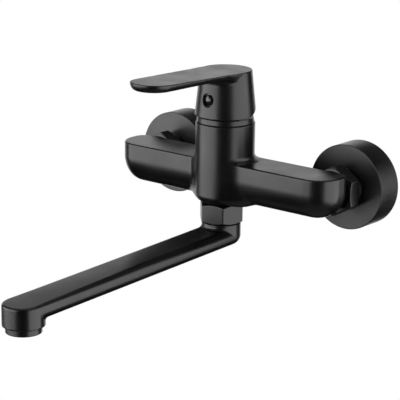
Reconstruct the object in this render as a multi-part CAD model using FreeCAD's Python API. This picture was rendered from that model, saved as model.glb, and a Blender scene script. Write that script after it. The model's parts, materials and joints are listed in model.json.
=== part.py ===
import FreeCAD, Part
import math
import os

os.makedirs("parts", exist_ok=True)

# Wall mounted single lever mixer with a long swivel spout. Millimetres.
# +Z is up, +Y points into the wall and the wall face is y = 0. The origin is midway between
# the two wall threads. Heights named *_H are measured from the inlet axis of the mixer.

V = FreeCAD.Vector
UP = V(0, 0, 1)
INTO_WALL = V(0, 1, 0)
ALONG_X = V(1, 0, 0)

# Driving dimensions
INLET_SPACING = 150.0          # centre distance of the two inlets
ECCENTRIC_RISE = 6.0           # rise of the inlet axis above the wall threads
COLUMN_Y = -55.4               # axis of the column and the cartridge
COLUMN_R = 20.2
COLUMN_TOP_H = 40.0
COLUMN_BOTTOM_H = -15.0
COLUMN_EDGE_R = 0.8

# Wall side
WALL_THREAD_R = 10.48
WALL_THREAD_LENGTH = 20.0
WALL_BORE_R = 7.0
UNION_THREAD_R = 13.2
UNION_BORE_R = 8.5
UNION_FRONT_Y = -29.4
UNION_BODY_FRONT_Y = -14.0
UNION_BODY_BACK_Y = -1.0
UNION_BODY_R = 14.5
UNION_WAIST_R = 11.6
ESCUTCHEON_R = 29.0
ESCUTCHEON_DEPTH = 19.5
ESCUTCHEON_WALL = 2.0
ESCUTCHEON_EDGE_R = 0.6
ESCUTCHEON_HOLE_R = 13.5

# Union nuts, tails and washers
NUT_AF = 30.0
NUT_FRONT_Y = -35.6
NUT_BACK_Y = -25.0
NUT_LIP = 2.2
NUT_LIP_R = 11.1
NUT_THREAD_R = 13.3
TAIL_R = 10.9
TAIL_BORE_R = 8.0
TAIL_FLANGE_R = 12.9
TAIL_FLANGE = 2.0
TAIL_DEPTH = 10.0
WASHER_R = 12.6
WASHER_MESH = 0.5
MESH_HOLE_R = 0.9
MESH_RINGS = ((2.6, 6), (5.2, 12))

# Arms
ARM_HALF_LENGTH = 90.5
ARM_FRONT_Y = COLUMN_Y - 11.0
ARM_BACK_Y = COLUMN_Y + 19.5
ARM_TOP_H = 14.0
ARM_BOTTOM_H = -14.3
ARM_END_R = 17.5
ARM_BACK_R = 8.5
ARM_BELLY_R = 13.0
ARM_BORE_R = 8.0
ARM_BORE_Y = COLUMN_Y + 4.4
ARM_BORE_END_X = 5.5
BLEND_R = 5.0
FOOT_R = 6.0

# Cartridge seat
SEAT_H = 9.5
SEAT_R = 17.55
RING_THREAD_R = 18.2
RING_THREAD_H = 33.0
SUPPLY_PORT_X = 9.0
SUPPLY_PORT_Y = 4.4
SUPPLY_PORT_R = 3.5
MIX_PORT_Y = -8.0
MIX_PORT_R = 4.0

# Cartridge
BASE_R = 17.4
BASE_TOP_H = 20.0
SEAL_R = 5.6
SEAL_HEIGHT = 1.6
FIXED_DISC_R = 15.2
FIXED_DISC_TOP_H = 24.0
DISC_PORT_STEP = 0.6           # the holes of the fixed disc are this much smaller than the ports
MOVING_DISC_R = 10.4
MOVING_DISC_BOTTOM_H = 24.05
MOVING_DISC_TOP_H = 28.0
MIX_CHAMBER_R = 6.0
MIX_CHAMBER_HEIGHT = 2.0
CARRIER_TOP_H = 33.9
HOUSING_R = 17.45
HOUSING_UPPER_R = 16.2
HOUSING_BORE_R = 15.3
HOUSING_CEILING_H = 37.1
HOUSING_TOP_H = 39.5
HOUSING_NECK_R = 9.95
ROTOR_FLANGE_R = 14.9
ROTOR_FLANGE_BOTTOM_H = 34.4
ROTOR_FLANGE_TOP_H = 36.8
ROTOR_NECK_R = 9.55
ROTOR_TOP_H = 49.0
PIVOT_H = 46.0
PIN_R = 1.5
PIN_HALF_LENGTH = 9.0
STEM_WIDTH = 6.8
STEM_DEPTH = 7.0
STEM_SQUARE_BOTTOM_H = 40.0
STEM_TOP_H = 63.0
STEM_WAIST_R = 2.2
BALL_H = 31.5
BALL_R = 2.9
BALL_PLAY = 0.2
STEM_PLAY = 0.1
PIN_PLAY = 0.06
ROTOR_SLOT_FRONT = 6.6
ROTOR_SLOT_BACK = 5.6

# Retaining ring and trim collar
RING_TOP_H = 42.0
RING_UPPER_R = 17.2
RING_BORE_R = 16.35
RING_NOTCH_WIDTH = 3.0
RING_NOTCH_DEPTH = 0.9
COLLAR_R = 19.65
COLLAR_TOP_R = 19.0
COLLAR_BOTTOM_H = 40.05
COLLAR_TOP_H = 43.9
COLLAR_INNER_R = 17.35
COLLAR_CEILING_H = 42.2
COLLAR_NECK_R = 10.4
COLLAR_EDGE_R = 0.5
O_RING_R = 0.7
O_RING_H = 41.1
O_RING_BED = 0.1               # how far the ring sits in its groove

# Handle
HANDLE_BOTTOM_H = 44.6
HANDLE_BOTTOM_R = 20.8
HANDLE_TOP_H = 75.6
HANDLE_TOP_R = 17.6
HANDLE_WALL = 2.6
HANDLE_ROOF = 5.2
LIFT_BEVEL = 19.5              # degrees cut off the back of the skirt so that it can tip
BLADE_RISE = 0.030             # rise of the blade per millimetre of reach
BLADE_START = 3.5
BLADE_TIP_Y = 74.2
BLADE_TIP_R = 15.2
BLADE_THICKNESS = 3.2          # at the column; the underside is nearly level
BLADE_UNDER_RISE = 0.0045
BLADE_BELLY_R = 1.8
BOSS_R = 7.6
BOSS_BOTTOM_H = 53.2
PLUG_H = 57.0
PLUG_R = 4.4
PLUG_FACE = 18.9
PLUG_DEPTH = 3.0
PLUG_EDGE_R = 0.8
SCREW_R = 2.5
SCREW_LENGTH = 9.0
SCREW_KEY_AF = 2.5
SCREW_KEY_DEPTH = 3.0
RIB_R = 5.6

# Spout and its joint
SPOUT_Y = COLUMN_Y - 2.85
NIPPLE_R = 10.48
NIPPLE_BORE_R = 8.0
NIPPLE_TOP_H = -10.2
NIPPLE_BOTTOM_H = -24.0
SPOUT_NUT_AF = 27.8
SPOUT_NUT_TOP_H = -15.4
SPOUT_NUT_BOTTOM_H = -28.9
SPOUT_NUT_LIP = 2.3
SPOUT_NUT_LIP_R = 8.4
SPOUT_NUT_TURN = 43.0          # degrees from straight ahead to one of its corners
SPIGOT_R = 7.92
SPIGOT_BORE_R = 5.2
SPIGOT_TOP_H = -11.5
SPIGOT_BOTTOM_H = -41.0
SLIP_RING_R = 9.9
SLIP_GROOVE_R = 6.9
SLIP_GAP = 1.6
SLIP_TOP_H = -24.5
SLIP_BOTTOM_H = -26.3
GLAND_H = (-14.5, -19.5)
GLAND_R = 6.3
GLAND_HALF = 1.1
GLAND_RING_R = 0.78
SPOUT_R = 13.4
SPOUT_REACH = 190.65
SPOUT_TOP_H = -32.7
SPOUT_FALL = 0.034             # fall of the spout per millimetre of reach
SPOUT_HEIGHT = 12.3
SPOUT_BELLY_R = 7.0
SPOUT_NECK_TOP_H = -29.2
SPOUT_EDGE_R = 1.2
WATERWAY_HALF = 8.0
WATERWAY_TOP = 2.6
WATERWAY_HEIGHT = 6.6
OUTLET_BOTTOM_H = -54.5
OUTLET_BORE_R = 10.3
OUTLET_BORE_TOP_H = -45.6
AERATOR_R = 11.34
AERATOR_BOTTOM_H = -58.8
AERATOR_EDGE_R = 0.5
AERATOR_GAP = 0.05
AERATOR_THREAD_R = 10.25
AERATOR_THREAD_TOP_H = -48.6
AERATOR_BORE_R = 9.0
INSERT_R = 8.95
INSERT_BOTTOM_H = -57.9
INSERT_TOP_H = -48.8
JET_R = 0.85
JET_RINGS = ((0.0, 1), (3.0, 6), (5.8, 12))


def h(height):
    """Height above the inlet axis turned into a z coordinate."""
    return ECCENTRIC_RISE + height


def rod(radius, bottom, top, x=0.0, y=COLUMN_Y):
    """Upright cylinder between two heights."""
    return Part.makeCylinder(radius, top - bottom, V(x, y, h(bottom)), UP)


def rod_y(radius, front, back, x, z):
    """Cylinder along Y."""
    return Part.makeCylinder(radius, back - front, V(x, front, z), INTO_WALL)


def rod_x(radius, start, end, y, z):
    """Cylinder along X."""
    return Part.makeCylinder(radius, end - start, V(start, y, z), ALONG_X)


def box(x0, x1, y0, y1, z0, z1):
    """Box between two corners."""
    return Part.makeBox(x1 - x0, y1 - y0, z1 - z0, V(x0, y0, z0))


def ring(outer, inner, bottom, top, x=0.0, y=COLUMN_Y):
    """Upright ring between two heights."""
    return rod(outer, bottom, top, x, y).cut(rod(inner, bottom - 1, top + 1, x, y))


def ring_y(outer, inner, front, back, x, z):
    """Ring whose axis runs along Y."""
    return rod_y(outer, front, back, x, z).cut(rod_y(inner, front - 1, back + 1, x, z))


def torus(major, minor, height, y=COLUMN_Y):
    """O-ring lying flat at a height."""
    return Part.makeTorus(major, minor, V(0, y, h(height)), UP)


def hexagon_prism(across_flats, length, turn=0.0):
    """Hexagonal bar standing on the XY plane, with its corners turned off at both ends."""
    corner_r = across_flats / math.sqrt(3)
    points = []
    for i in range(7):
        angle = math.radians(60 * i + turn)
        points.append(V(corner_r * math.cos(angle), corner_r * math.sin(angle), 0))
    prism = Part.Face(Part.makePolygon(points)).extrude(V(0, 0, length))
    drop = (corner_r - across_flats / 2) * math.tan(math.radians(30))
    reach = corner_r + 1
    fall = (reach - across_flats / 2) * math.tan(math.radians(30))
    profile = [V(0, 0, 0), V(across_flats / 2, 0, 0), V(reach, 0, fall),
               V(reach, 0, length - fall), V(across_flats / 2, 0, length), V(0, 0, length), V(0, 0, 0)]
    turned = Part.Face(Part.makePolygon(profile)).revolve(V(0, 0, 0), UP, 360)
    return prism.common(turned) if drop > 0 else prism


def edges_where(shape, test):
    """Edges whose points all pass a test."""
    found = []
    for edge in shape.Edges:
        first, last = edge.ParameterRange
        points = [edge.valueAt(first + (last - first) * i / 6.0) for i in range(7)]
        if all(test(p) for p in points):
            found.append(edge)
    return found


def rounded(shape, radius, test):
    """Shape with the chosen edges rounded."""
    return shape.makeFillet(radius, edges_where(shape, test))


def near(value, target, tolerance=0.02):
    return abs(value - target) < tolerance


def stadium(front_y, back_y, radius):
    """Flat outline with round ends, along Y."""
    left = Part.LineSegment(V(-radius, front_y, 0), V(-radius, back_y, 0)).toShape()
    rear = Part.Arc(V(-radius, back_y, 0), V(0, back_y + radius, 0), V(radius, back_y, 0)).toShape()
    right = Part.LineSegment(V(radius, back_y, 0), V(radius, front_y, 0)).toShape()
    tip = Part.Arc(V(radius, front_y, 0), V(0, front_y - radius, 0), V(-radius, front_y, 0)).toShape()
    return Part.Face(Part.Wire([left, rear, right, tip]))


def prism_x(profile, x0, x1):
    """Extrude a closed list of (y, z) points along X."""
    points = [V(x0, y, z) for y, z in profile]
    return Part.Face(Part.makePolygon(points + [points[0]])).extrude(V(x1 - x0, 0, 0))


parts = {}

# ---------------------------------------------------------------- wall side, both inlets
for side, x in (("left", -INLET_SPACING / 2), ("right", INLET_SPACING / 2)):
    inlet_z = ECCENTRIC_RISE

    # Eccentric union: wall thread on the pipe axis, union thread on the inlet axis
    front_circle = Part.Wire(Part.makeCircle(UNION_BODY_R, V(x, UNION_BODY_FRONT_Y, inlet_z), INTO_WALL))
    back_circle = Part.Wire(Part.makeCircle(UNION_WAIST_R, V(x, UNION_BODY_BACK_Y, 0), INTO_WALL))
    union = Part.makeLoft([front_circle, back_circle], True, True)
    union = union.fuse(rod_y(UNION_THREAD_R, UNION_FRONT_Y, UNION_BODY_FRONT_Y, x, inlet_z))
    union = union.fuse(rod_y(WALL_THREAD_R, UNION_BODY_BACK_Y, WALL_THREAD_LENGTH, x, 0))
    union = union.cut(rod_y(UNION_BORE_R, UNION_FRONT_Y - 1, UNION_BODY_FRONT_Y + 4, x, inlet_z))
    union = union.cut(rod_y(WALL_BORE_R, UNION_BODY_FRONT_Y + 1, WALL_THREAD_LENGTH + 1, x, 0))
    parts["eccentric_union_" + side] = union

    # Escutcheon: a deep cup that rests on the wall
    cup = rod_y(ESCUTCHEON_R, -ESCUTCHEON_DEPTH, 0, x, inlet_z)
    cup = rounded(cup, ESCUTCHEON_EDGE_R, lambda p: near(p.y, -ESCUTCHEON_DEPTH))
    cup = cup.cut(rod_y(ESCUTCHEON_R - ESCUTCHEON_WALL, ESCUTCHEON_WALL - ESCUTCHEON_DEPTH, 1, x, inlet_z))
    cup = cup.cut(rod_y(ESCUTCHEON_HOLE_R, -ESCUTCHEON_DEPTH - 1, 0, x, inlet_z))
    parts["escutcheon_" + side] = cup

    # Union nut, with the lip that pulls the tail flange back against the washer
    nut = hexagon_prism(NUT_AF, NUT_BACK_Y - NUT_FRONT_Y, 30.0)
    nut.rotate(V(0, 0, 0), ALONG_X, -90)
    nut.translate(V(x, NUT_FRONT_Y, inlet_z))
    nut = nut.cut(rod_y(NUT_LIP_R, NUT_FRONT_Y - 1, NUT_BACK_Y, x, inlet_z))
    nut = nut.cut(rod_y(NUT_THREAD_R, NUT_FRONT_Y + NUT_LIP, NUT_BACK_Y + 1, x, inlet_z))
    parts["union_nut_" + side] = nut

    # Tail screwed into the arm
    flange_front = NUT_FRONT_Y + NUT_LIP
    tail = rod_y(TAIL_R, ARM_BACK_Y - TAIL_DEPTH, flange_front, x, inlet_z)
    tail = tail.fuse(rod_y(TAIL_FLANGE_R, flange_front, flange_front + TAIL_FLANGE, x, inlet_z))
    tail = tail.cut(rod_y(TAIL_BORE_R, ARM_BACK_Y - TAIL_DEPTH - 1, UNION_FRONT_Y, x, inlet_z))
    parts["inlet_tail_" + side] = tail

    # Filter washer: a flat ring that carries a perforated screen
    washer_front = flange_front + TAIL_FLANGE
    washer = ring_y(WASHER_R, TAIL_BORE_R, washer_front, UNION_FRONT_Y, x, inlet_z)
    middle = (washer_front + UNION_FRONT_Y) / 2
    screen = rod_y(TAIL_BORE_R, middle - WASHER_MESH / 2, middle + WASHER_MESH / 2, x, inlet_z)
    for radius, count in MESH_RINGS:
        for i in range(count):
            angle = 2 * math.pi * i / count
            hole_x = x + radius * math.cos(angle)
            hole_z = inlet_z + radius * math.sin(angle)
            screen = screen.cut(rod_y(MESH_HOLE_R, middle - 1, middle + 1, hole_x, hole_z))
    parts["filter_washer_" + side] = washer.fuse(screen)

# ---------------------------------------------------------------- mixer body
arms = box(-ARM_HALF_LENGTH, ARM_HALF_LENGTH, ARM_FRONT_Y, ARM_BACK_Y, h(ARM_BOTTOM_H), h(ARM_TOP_H))
arms = rounded(arms, ARM_END_R, lambda p: near(abs(p.x), ARM_HALF_LENGTH) and near(p.y, ARM_FRONT_Y))
arms = rounded(arms, ARM_BACK_R, lambda p: near(abs(p.x), ARM_HALF_LENGTH) and near(p.y, ARM_BACK_Y))
arms = rounded(arms, ARM_BELLY_R, lambda p: near(p.z, h(ARM_BOTTOM_H)))

column = rod(COLUMN_R, COLUMN_BOTTOM_H, COLUMN_TOP_H)
column = rounded(column, FOOT_R, lambda p: near(p.z, h(COLUMN_BOTTOM_H)))
column = rounded(column, COLUMN_EDGE_R, lambda p: near(p.z, h(COLUMN_TOP_H)))
body = column.fuse(arms).removeSplitter()


def on_seam(p):
    """Where the arms leave the column."""
    return near(math.hypot(p.x, p.y - COLUMN_Y), COLUMN_R) and abs(p.x) > 1 and p.z < h(ARM_TOP_H + 0.1)


def is_seam(edge):
    """Seam edges, told from the rings round the foot of the column."""
    level = edge.BoundBox.ZLength < 0.01 and edge.BoundBox.ZMin < h(0)
    return not level


seam = [e for e in edges_where(body, on_seam) if is_seam(e)]
body = body.makeFillet(BLEND_R, seam)

body = body.cut(rod(SEAT_R, SEAT_H, COLUMN_TOP_H + 1))
body = body.cut(rod(RING_THREAD_R, RING_THREAD_H, COLUMN_TOP_H + 1))
body = body.cut(rod(MIX_PORT_R, NIPPLE_TOP_H - 0.5, SEAT_H + 1, 0, COLUMN_Y + MIX_PORT_Y))
body = body.cut(rod(NIPPLE_R, COLUMN_BOTTOM_H - 1, NIPPLE_TOP_H, 0, SPOUT_Y))
for sign in (-1, 1):
    inner, outer = sorted((sign * ARM_BORE_END_X, sign * INLET_SPACING / 2))
    body = body.cut(rod_x(ARM_BORE_R, inner, outer, ARM_BORE_Y, h(0)))
    body = body.cut(rod_y(ARM_BORE_R, ARM_BORE_Y, ARM_BACK_Y + 1, sign * INLET_SPACING / 2, h(0)))
    body = body.cut(rod_y(TAIL_R, ARM_BACK_Y - TAIL_DEPTH, ARM_BACK_Y + 1, sign * INLET_SPACING / 2, h(0)))
    body = body.cut(rod(SUPPLY_PORT_R, 0, SEAT_H + 1, sign * SUPPLY_PORT_X, COLUMN_Y + SUPPLY_PORT_Y))
parts["mixer_body"] = body

# ---------------------------------------------------------------- cartridge
PORTS = (
    ("hot", -SUPPLY_PORT_X, COLUMN_Y + SUPPLY_PORT_Y, SUPPLY_PORT_R),
    ("cold", SUPPLY_PORT_X, COLUMN_Y + SUPPLY_PORT_Y, SUPPLY_PORT_R),
    ("outlet", 0.0, COLUMN_Y + MIX_PORT_Y, MIX_PORT_R),
)
base = rod(BASE_R, SEAT_H, BASE_TOP_H)
fixed_disc = rod(FIXED_DISC_R, BASE_TOP_H, FIXED_DISC_TOP_H)
for name, px, py, port_r in PORTS:
    base = base.cut(rod(port_r, SEAT_H - 1, BASE_TOP_H + 1, px, py))
    base = base.cut(rod(SEAL_R, SEAT_H - 1, SEAT_H + SEAL_HEIGHT, px, py))
    fixed_disc = fixed_disc.cut(rod(port_r - DISC_PORT_STEP, BASE_TOP_H - 1, FIXED_DISC_TOP_H + 1, px, py))
    parts["port_seal_" + name] = ring(SEAL_R, port_r, SEAT_H, SEAT_H + SEAL_HEIGHT, px, py)
parts["cartridge_base"] = base
parts["fixed_ceramic_disc"] = fixed_disc

moving_disc = rod(MOVING_DISC_R, MOVING_DISC_BOTTOM_H, MOVING_DISC_TOP_H)
chamber_top = MOVING_DISC_BOTTOM_H + MIX_CHAMBER_HEIGHT
moving_disc = moving_disc.cut(rod(MIX_CHAMBER_R, MOVING_DISC_BOTTOM_H - 1, chamber_top))
parts["moving_ceramic_disc"] = moving_disc

carrier = rod(MOVING_DISC_R, MOVING_DISC_TOP_H, CARRIER_TOP_H)
pocket = BALL_R + BALL_PLAY
carrier = carrier.cut(box(-pocket, pocket, COLUMN_Y - pocket, COLUMN_Y + pocket,
                          h(MOVING_DISC_TOP_H), h(CARRIER_TOP_H + 1)))
parts["disc_carrier"] = carrier

housing = rod(HOUSING_R, BASE_TOP_H, RING_THREAD_H)
housing = housing.fuse(rod(HOUSING_UPPER_R, RING_THREAD_H, HOUSING_TOP_H))
housing = housing.cut(rod(HOUSING_BORE_R, BASE_TOP_H - 1, HOUSING_CEILING_H))
housing = housing.cut(rod(HOUSING_NECK_R, HOUSING_CEILING_H - 1, HOUSING_TOP_H + 1))
parts["cartridge_housing"] = housing

rotor = rod(ROTOR_FLANGE_R, ROTOR_FLANGE_BOTTOM_H, ROTOR_FLANGE_TOP_H)
rotor = rotor.fuse(rod(ROTOR_NECK_R, ROTOR_FLANGE_TOP_H, ROTOR_TOP_H))
half_slot = STEM_WIDTH / 2 + STEM_PLAY
rotor = rotor.cut(box(-half_slot, half_slot, COLUMN_Y - ROTOR_SLOT_FRONT, COLUMN_Y + ROTOR_SLOT_BACK,
                      h(ROTOR_FLANGE_BOTTOM_H - 1), h(ROTOR_TOP_H + 1)))
rotor = rotor.cut(rod_x(PIN_R, -ROTOR_NECK_R - 1, ROTOR_NECK_R + 1, COLUMN_Y, h(PIVOT_H)))
parts["cartridge_rotor"] = rotor
parts["pivot_pin"] = rod_x(PIN_R, -PIN_HALF_LENGTH, PIN_HALF_LENGTH, COLUMN_Y, h(PIVOT_H))

stem = box(-STEM_WIDTH / 2, STEM_WIDTH / 2, COLUMN_Y - STEM_DEPTH / 2, COLUMN_Y + STEM_DEPTH / 2,
           h(STEM_SQUARE_BOTTOM_H), h(STEM_TOP_H))
stem = stem.fuse(rod(STEM_WAIST_R, BALL_H, STEM_SQUARE_BOTTOM_H + 1))
stem = stem.fuse(Part.makeSphere(BALL_R, V(0, COLUMN_Y, h(BALL_H))))
stem = stem.cut(rod_x(PIN_R + PIN_PLAY, -STEM_WIDTH, STEM_WIDTH, COLUMN_Y, h(PIVOT_H)))
parts["cartridge_stem"] = stem

# ---------------------------------------------------------------- retaining ring and collar
retainer = rod(RING_THREAD_R, RING_THREAD_H, COLUMN_TOP_H)
retainer = retainer.fuse(rod(RING_UPPER_R, COLUMN_TOP_H, RING_TOP_H))
retainer = retainer.cut(rod(RING_BORE_R, RING_THREAD_H - 1, RING_TOP_H + 1))
o_ring = torus(RING_UPPER_R - O_RING_BED, O_RING_R, O_RING_H)
retainer = retainer.cut(o_ring)
for i in range(6):
    notch = box(RING_BORE_R - 1, RING_UPPER_R + 1,
                COLUMN_Y - RING_NOTCH_WIDTH / 2, COLUMN_Y + RING_NOTCH_WIDTH / 2,
                h(RING_TOP_H - RING_NOTCH_DEPTH), h(RING_TOP_H + 1))
    notch.rotate(V(0, COLUMN_Y, 0), UP, 60 * i)
    retainer = retainer.cut(notch)
parts["retaining_ring"] = retainer
parts["collar_o_ring"] = o_ring.common(rod(COLLAR_INNER_R, O_RING_H - 1, O_RING_H + 1))

collar = Part.makeCone(COLLAR_R, COLLAR_TOP_R, COLLAR_TOP_H - COLLAR_BOTTOM_H,
                       V(0, COLUMN_Y, h(COLLAR_BOTTOM_H)), UP)
collar = rounded(collar, COLLAR_EDGE_R,
                 lambda p: near(p.z, h(COLLAR_TOP_H)) or near(p.z, h(COLLAR_BOTTOM_H)))
collar = collar.cut(rod(COLLAR_INNER_R, COLLAR_BOTTOM_H - 1, COLLAR_CEILING_H))
collar = collar.cut(rod(COLLAR_NECK_R, COLLAR_BOTTOM_H, COLLAR_TOP_H + 1))
parts["trim_collar"] = collar

# ---------------------------------------------------------------- handle
cap = Part.makeCone(HANDLE_BOTTOM_R, HANDLE_TOP_R, HANDLE_TOP_H - HANDLE_BOTTOM_H,
                    V(0, COLUMN_Y, h(HANDLE_BOTTOM_H)), UP)
crease_y = COLUMN_Y - BLADE_START
tip_y = COLUMN_Y - BLADE_TIP_Y
top_z = h(HANDLE_TOP_H)


def blade_top(y):
    """Height of the blade's upper face."""
    return top_z + BLADE_RISE * (crease_y - y)


def blade_under(y):
    """Height of the blade's lower face."""
    return top_z - BLADE_THICKNESS + BLADE_UNDER_RISE * (crease_y - y)


root_r = HANDLE_TOP_R
root_y = COLUMN_Y
lean = math.asin((root_r - BLADE_TIP_R) / (root_y - tip_y))
root_x = root_r * math.cos(lean)
root_touch = root_y - root_r * math.sin(lean)
tip_x = BLADE_TIP_R * math.cos(lean)
tip_touch = tip_y - BLADE_TIP_R * math.sin(lean)
blade_outline = Part.Wire([
    Part.LineSegment(V(-root_x, root_touch, 0), V(-tip_x, tip_touch, 0)).toShape(),
    Part.Arc(V(-tip_x, tip_touch, 0), V(0, tip_y - BLADE_TIP_R, 0), V(tip_x, tip_touch, 0)).toShape(),
    Part.LineSegment(V(tip_x, tip_touch, 0), V(root_x, root_touch, 0)).toShape(),
    Part.Arc(V(root_x, root_touch, 0), V(0, root_y + root_r, 0), V(-root_x, root_touch, 0)).toShape(),
])
blade = Part.Face(blade_outline).extrude(V(0, 0, 30))
blade.translate(V(0, 0, top_z - 15))
far_y = tip_y - BLADE_TIP_R - 5
back_y = COLUMN_Y + root_r + 5
slab = prism_x([
    (far_y, blade_under(far_y)), (crease_y, top_z - BLADE_THICKNESS),
    (back_y, top_z - BLADE_THICKNESS), (back_y, top_z), (crease_y, top_z), (far_y, blade_top(far_y)),
], -40, 40)
blade = blade.common(slab)
blade = rounded(blade, BLADE_BELLY_R, lambda p: p.y < crease_y - 1 and near(p.z, blade_under(p.y)))
handle = cap.fuse(blade).removeSplitter()

hollow = Part.makeCone(HANDLE_BOTTOM_R - HANDLE_WALL, HANDLE_TOP_R - HANDLE_WALL,
                       HANDLE_TOP_H - HANDLE_BOTTOM_H, V(0, COLUMN_Y, h(HANDLE_BOTTOM_H)), UP)
hollow = hollow.common(rod(HANDLE_BOTTOM_R, HANDLE_BOTTOM_H - 1, HANDLE_TOP_H - HANDLE_ROOF))
handle = handle.cut(hollow)
handle = handle.fuse(rod(BOSS_R, BOSS_BOTTOM_H, HANDLE_TOP_H - HANDLE_ROOF + 1))
rib_start = COLUMN_Y - PLUG_FACE
rib = rod_y(RIB_R, rib_start, COLUMN_Y - BOSS_R + 3, 0, h(PLUG_H))
rib = rib.common(rod(HANDLE_TOP_R - 0.5, BOSS_BOTTOM_H - 1, HANDLE_TOP_H - HANDLE_ROOF))
handle = handle.fuse(rib)
handle = handle.cut(box(-STEM_WIDTH / 2, STEM_WIDTH / 2, COLUMN_Y - STEM_DEPTH / 2,
                        COLUMN_Y + STEM_DEPTH / 2, h(BOSS_BOTTOM_H - 1), h(STEM_TOP_H)))
handle = handle.cut(rod_y(SCREW_R, COLUMN_Y - HANDLE_BOTTOM_R, COLUMN_Y, 0, h(PLUG_H)))
plug_floor = COLUMN_Y - PLUG_FACE + PLUG_DEPTH
handle = handle.cut(rod_y(PLUG_R, COLUMN_Y - HANDLE_BOTTOM_R - 2, plug_floor, 0, h(PLUG_H)))

# The back of the skirt is cut on a slope through the foot of the pivot, so the cap can tip back
wedge_far = COLUMN_Y + HANDLE_BOTTOM_R + 2
wedge_rise = (wedge_far - COLUMN_Y) * math.tan(math.radians(LIFT_BEVEL))
wedge = prism_x([
    (COLUMN_Y, h(HANDLE_BOTTOM_H) - 0.01), (wedge_far, h(HANDLE_BOTTOM_H) - 0.01),
    (wedge_far, h(HANDLE_BOTTOM_H) + wedge_rise),
], -30, 30)
handle = handle.cut(wedge)
parts["lever_handle"] = handle.removeSplitter()

screw_back = COLUMN_Y - STEM_DEPTH / 2
set_screw = rod_y(SCREW_R, screw_back - SCREW_LENGTH, screw_back, 0, h(PLUG_H))
key = hexagon_prism(SCREW_KEY_AF, SCREW_KEY_DEPTH)
key.rotate(V(0, 0, 0), ALONG_X, -90)
key.translate(V(0, screw_back - SCREW_LENGTH - 0.01, h(PLUG_H)))
parts["set_screw"] = set_screw.cut(key)

plug = rod_y(PLUG_R, COLUMN_Y - PLUG_FACE, plug_floor, 0, h(PLUG_H))
plug = rounded(plug, PLUG_EDGE_R, lambda p: near(p.y, COLUMN_Y - PLUG_FACE))
parts["index_plug"] = plug

# ---------------------------------------------------------------- spout joint
nipple = ring(NIPPLE_R, NIPPLE_BORE_R, NIPPLE_BOTTOM_H, NIPPLE_TOP_H, 0, SPOUT_Y)
parts["outlet_nipple"] = nipple

spout_nut = hexagon_prism(SPOUT_NUT_AF, SPOUT_NUT_TOP_H - SPOUT_NUT_BOTTOM_H, SPOUT_NUT_TURN - 90)
spout_nut.translate(V(0, SPOUT_Y, h(SPOUT_NUT_BOTTOM_H)))
spout_nut = spout_nut.cut(rod(SPOUT_NUT_LIP_R, SPOUT_NUT_BOTTOM_H - 1, SPOUT_NUT_TOP_H + 1, 0, SPOUT_Y))
spout_nut = spout_nut.cut(rod(NIPPLE_R, SPOUT_NUT_BOTTOM_H + SPOUT_NUT_LIP, SPOUT_NUT_TOP_H + 1, 0, SPOUT_Y))
parts["spout_nut"] = spout_nut

spigot = ring(SPIGOT_R, SPIGOT_BORE_R, SPIGOT_BOTTOM_H, SPIGOT_TOP_H, 0, SPOUT_Y)
spigot = spigot.cut(ring(SPIGOT_R + 1, SLIP_GROOVE_R, SLIP_BOTTOM_H, SLIP_TOP_H, 0, SPOUT_Y))
for label, gland in zip(("upper", "lower"), GLAND_H):
    spigot = spigot.cut(ring(SPIGOT_R + 1, GLAND_R, gland - GLAND_HALF, gland + GLAND_HALF, 0, SPOUT_Y))
    parts["spigot_o_ring_" + label] = torus(GLAND_R + GLAND_RING_R, GLAND_RING_R, gland, SPOUT_Y)
parts["spout_spigot"] = spigot
slip = ring(SLIP_RING_R, SLIP_GROOVE_R, SLIP_BOTTOM_H, SLIP_TOP_H, 0, SPOUT_Y)
gap = box(0, SLIP_RING_R + 1, SPOUT_Y - SLIP_GAP / 2, SPOUT_Y + SLIP_GAP / 2,
          h(SLIP_BOTTOM_H - 1), h(SLIP_TOP_H + 1))
parts["slip_ring"] = slip.cut(gap)

# ---------------------------------------------------------------- spout
outlet_y = SPOUT_Y - SPOUT_REACH


def spout_top(y):
    """Height of the spout's upper face."""
    return h(SPOUT_TOP_H) - SPOUT_FALL * (SPOUT_Y - y)


bar = stadium(outlet_y, SPOUT_Y, SPOUT_R).extrude(V(0, 0, 60))
bar.translate(V(0, 0, h(-80)))
bar_front = outlet_y - SPOUT_R - 5
bar_back = SPOUT_Y + SPOUT_R + 5
bar = bar.common(prism_x([
    (bar_front, spout_top(bar_front) - SPOUT_HEIGHT), (bar_back, spout_top(bar_back) - SPOUT_HEIGHT),
    (bar_back, spout_top(bar_back)), (bar_front, spout_top(bar_front)),
], -40, 40))
bar = rounded(bar, SPOUT_BELLY_R, lambda p: near(p.z, spout_top(p.y) - SPOUT_HEIGHT))
bar = rounded(bar, SPOUT_EDGE_R, lambda p: near(p.z, spout_top(p.y)))
spout = bar.fuse(rod(SPOUT_R, SPOUT_TOP_H - SPOUT_HEIGHT / 2, SPOUT_NECK_TOP_H, 0, SPOUT_Y))
outlet_neck_top = SPOUT_TOP_H - SPOUT_FALL * SPOUT_REACH - SPOUT_HEIGHT / 3
spout = spout.fuse(rod(SPOUT_R, OUTLET_BOTTOM_H, outlet_neck_top, 0, outlet_y)).removeSplitter()
waterway = stadium(outlet_y, SPOUT_Y, WATERWAY_HALF).extrude(V(0, 0, 60))
waterway.translate(V(0, 0, h(-80)))
channel_front = outlet_y - SPOUT_R
channel_back = SPOUT_Y + SPOUT_R
roof = WATERWAY_TOP
waterway = waterway.common(prism_x([
    (channel_front, spout_top(channel_front) - roof - WATERWAY_HEIGHT),
    (channel_back, spout_top(channel_back) - roof - WATERWAY_HEIGHT),
    (channel_back, spout_top(channel_back) - roof), (channel_front, spout_top(channel_front) - roof),
], -40, 40))
spout = spout.cut(waterway)
spout = spout.cut(rod(SPIGOT_R, SPOUT_TOP_H - 8, SPOUT_NECK_TOP_H + 1, 0, SPOUT_Y))
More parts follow.
